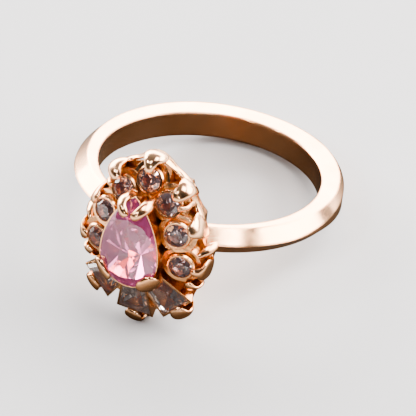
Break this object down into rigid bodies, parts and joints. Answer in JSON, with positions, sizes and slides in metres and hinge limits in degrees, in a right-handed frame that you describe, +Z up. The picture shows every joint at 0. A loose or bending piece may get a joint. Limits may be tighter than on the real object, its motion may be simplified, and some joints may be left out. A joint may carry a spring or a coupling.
{
  "type": "cocktail ring",
  "caption": "Cocktail ring: a pink pear stone in a bezel, an arch of small round stones over it, tapered baguettes fanned below, on a knife-edged rose-gold shank.",
  "frame": {"origin": "centre of the finger hole, halfway across the shank", "axes": "+Z up as the ring lies on a table, +Y from the head towards the back of the shank, +X to the right seen from the head; the finger hole leans back from +Z by the angle at which the ring lies"},
  "size_m": [0.022, 0.0251, 0.0148],
  "materials": {
    "shank_metal": "polished rose-gold plating",
    "gallery_metal": "rose-gold plating, polished outside, as cast in the recesses",
    "setting_metal": "rose-gold plating, satin in the seats",
    "claw_metal": "polished rose-gold plating",
    "pink_stone": "faceted pink paste",
    "clear_round_stones": "faceted clear paste",
    "clear_baguettes": "step-cut clear paste"
  },
  "bodies": {
    "root": {"arch_web": "gallery_metal", "baguette_seat_centre": "setting_metal", "baguette_seat_side_left": "setting_metal", "baguette_seat_side_right": "setting_metal", "baguette_stone_centre": "clear_baguettes", "baguette_stone_side_left": "clear_baguettes", "baguette_stone_side_right": "clear_baguettes", "crown_rim": "gallery_metal", "end_tab_centre": "claw_metal", "end_tab_side_left": "claw_metal", "end_tab_side_right": "claw_metal", "gallery_base": "gallery_metal", "lower_claw_left": "claw_metal", "lower_claw_right": "claw_metal", "pear_basket": "setting_metal", "pear_claw_lower_left": "claw_metal", "pear_claw_lower_right": "claw_metal", "pear_claw_upper_left": "claw_metal", "pear_claw_upper_right": "claw_metal", "pear_stone": "pink_stone", "round_cup_lower_left": "setting_metal", "round_cup_lower_right": "setting_metal", "round_cup_middle_left": "setting_metal", "round_cup_middle_right": "setting_metal", "round_cup_top": "setting_metal", "round_cup_upper_left": "setting_metal", "round_cup_upper_right": "setting_metal", "round_stone_lower_left": "clear_round_stones", "round_stone_lower_right": "clear_round_stones", "round_stone_middle_left": "clear_round_stones", "round_stone_middle_right": "clear_round_stones", "round_stone_top": "clear_round_stones", "round_stone_upper_left": "clear_round_stones", "round_stone_upper_right": "clear_round_stones", "shank": "shank_metal", "shoulder_claw_left": "claw_metal", "shoulder_claw_right": "claw_metal", "shoulder_leaf_left": "claw_metal", "shoulder_leaf_right": "claw_metal", "small_claw_left": "claw_metal", "small_claw_right": "claw_metal", "top_claw": "claw_metal", "upper_claw_left": "claw_metal", "upper_claw_right": "claw_metal", "wedge_claw_left": "claw_metal", "wedge_claw_right": "claw_metal"}
  },
  "joints": []
}
